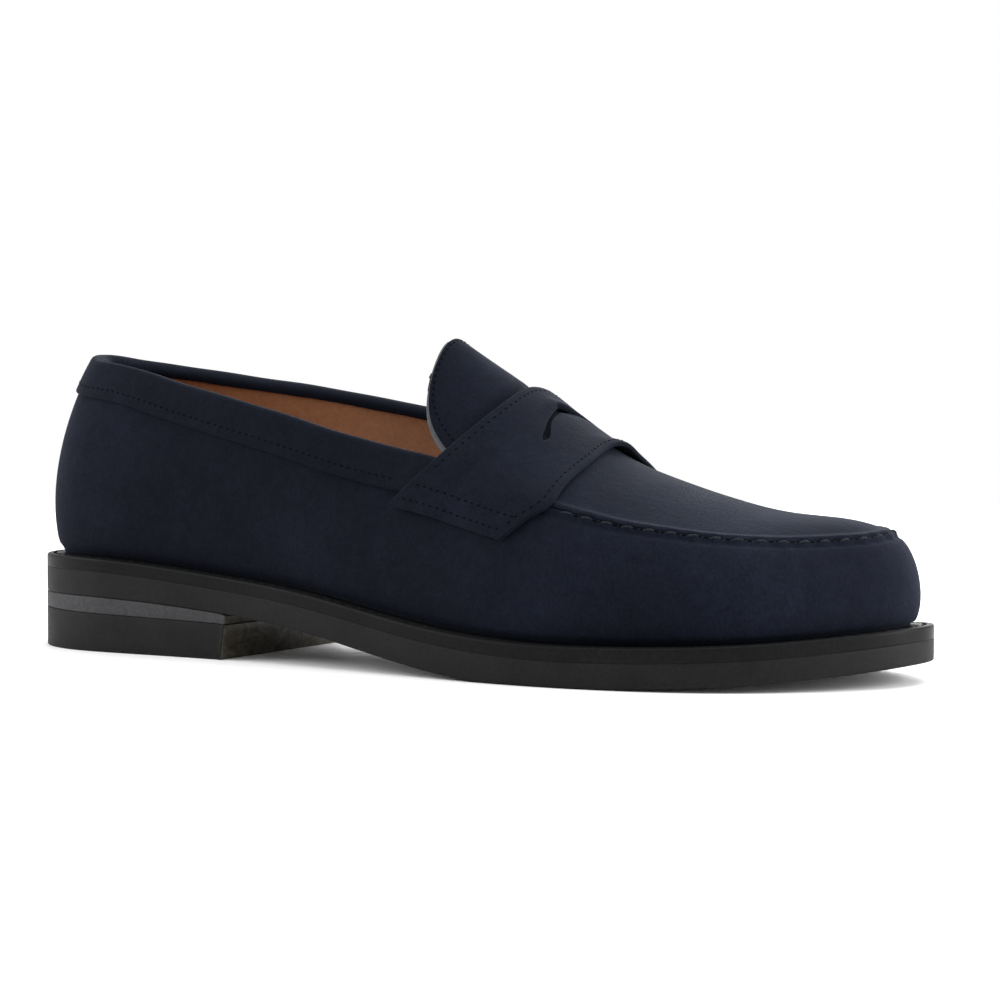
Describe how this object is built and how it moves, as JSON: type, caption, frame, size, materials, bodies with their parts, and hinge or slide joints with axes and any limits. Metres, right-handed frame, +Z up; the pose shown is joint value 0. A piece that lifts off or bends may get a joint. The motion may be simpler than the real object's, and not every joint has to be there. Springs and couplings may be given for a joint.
{
  "type": "penny loafer",
  "caption": "Suede slip-on penny loafer for the right foot, with a slotted saddle strap, hand-sewn apron seam, welted rubber sole and stacked heel.",
  "frame": {"origin": "bottom centre of the bounding box, on the ground", "axes": "+X towards the toe, +Y towards the inner (medial) side of this right shoe, +Z up"},
  "size_m": [0.3001, 0.1052, 0.0989],
  "materials": {
    "navy_suede": "napped navy suede, soft sheen",
    "collar_suede": "napped navy suede binding",
    "stiffener_board": "matte fibre board",
    "tan_lining": "smooth vegetable-tanned calf lining",
    "canvas_lining": "woven cotton",
    "pale_lining": "pale grey split leather, cut edge",
    "insole_leather": "matte leather board",
    "cork": "granulated cork",
    "steel": "bright steel",
    "welt_rubber": "satin black welting",
    "sole_rubber": "matte black rubber",
    "grey_spacer": "matte grey rubber",
    "heel_rubber": "matte black rubber",
    "navy_thread": "waxed thread",
    "welt_thread": "waxed thread"
  },
  "bodies": {
    "shoe": {"upper_wall": "navy_suede", "apron": "navy_suede", "strap": "navy_suede", "tongue_root": "navy_suede", "collar": "collar_suede", "heel_counter": "stiffener_board", "toe_puff": "stiffener_board", "side_stiffener_outer": "stiffener_board", "side_stiffener_inner": "stiffener_board", "heel_grip_lining": "tan_lining", "quarter_lining_outer": "tan_lining", "quarter_lining_inner": "tan_lining", "vamp_lining": "canvas_lining", "apron_lining": "canvas_lining", "tongue_lining_root": "pale_lining", "sock_liner": "tan_lining", "insole": "insole_leather", "insole_rib": "canvas_lining", "cork_filler": "cork", "shank": "steel", "welt": "welt_rubber", "outsole": "sole_rubber", "heel_spacer": "grey_spacer", "heel_block": "heel_rubber", "heel_nails": "steel", "apron_thread": "navy_thread", "strap_thread": "navy_thread", "collar_thread": "navy_thread", "back_seam_thread": "navy_thread", "welt_thread": "welt_thread"},
    "tongue_flap": {"tongue": "navy_suede", "tongue_lining": "pale_lining", "tongue_thread": "navy_thread"}
  },
  "joints": [
    {"name": "tongue_flex", "type": "hinge", "parent": "shoe", "child": "tongue_flap", "pos_m": [0.02596, 0, 0.08168], "axis": [0, 1, 0], "range_deg": [-5, 15], "stiffness_Nm_per_rad": 0.06}
  ]
}
